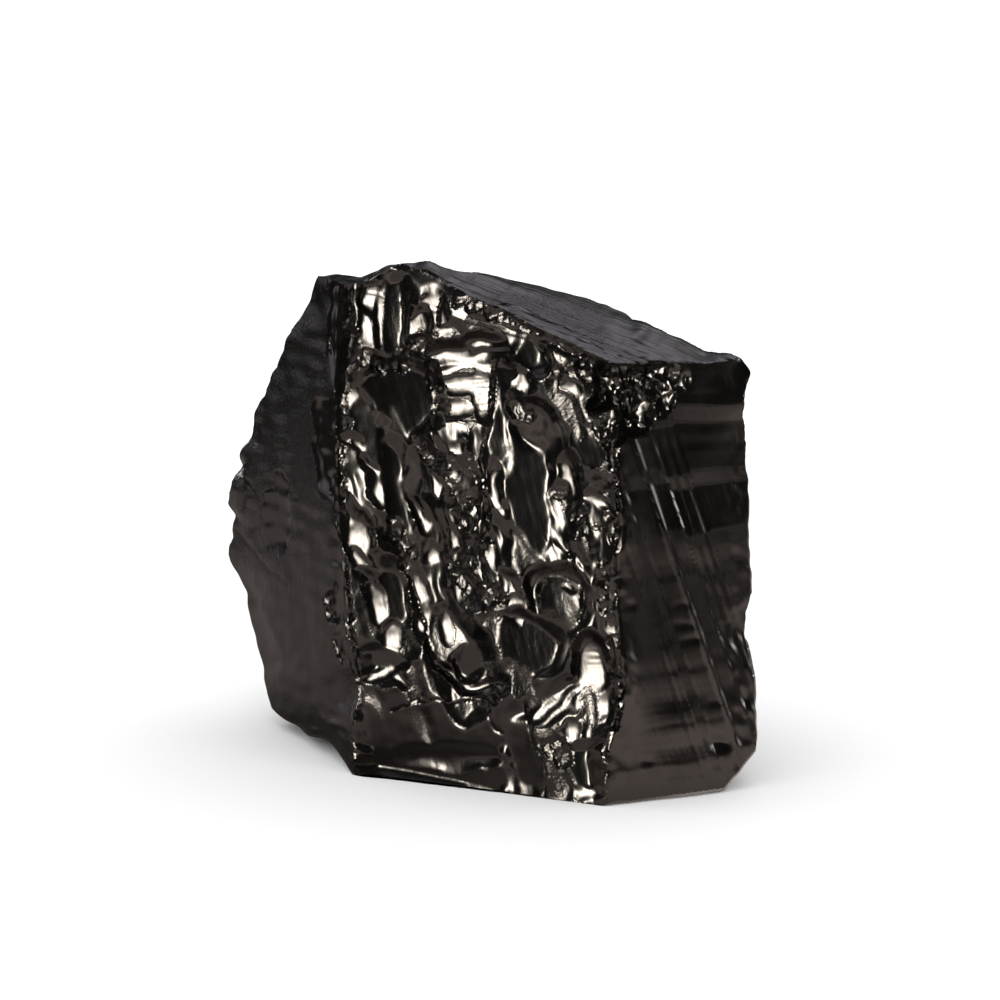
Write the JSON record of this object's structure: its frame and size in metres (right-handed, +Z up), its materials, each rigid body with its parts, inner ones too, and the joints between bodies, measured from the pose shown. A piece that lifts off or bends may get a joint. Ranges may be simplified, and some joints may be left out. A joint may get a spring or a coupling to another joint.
{
  "type": "shungite specimen",
  "caption": "Hand-sized chunk of elite shungite: glassy black stone with shell-shaped fracture hollows, a banded flat side and a flat base it stands on.",
  "frame": {"origin": "middle of the bounding rectangle of the base, on the ground", "axes": "+Z up, -Y towards the scalloped front face, +X towards the banded flat side"},
  "size_m": [0.0512, 0.0432, 0.0484],
  "materials": {
    "shungite": "glassy fracture surface, near-black, with a semi-metallic lustre"
  },
  "bodies": {
    "root": {"stone": "shungite"}
  },
  "joints": []
}
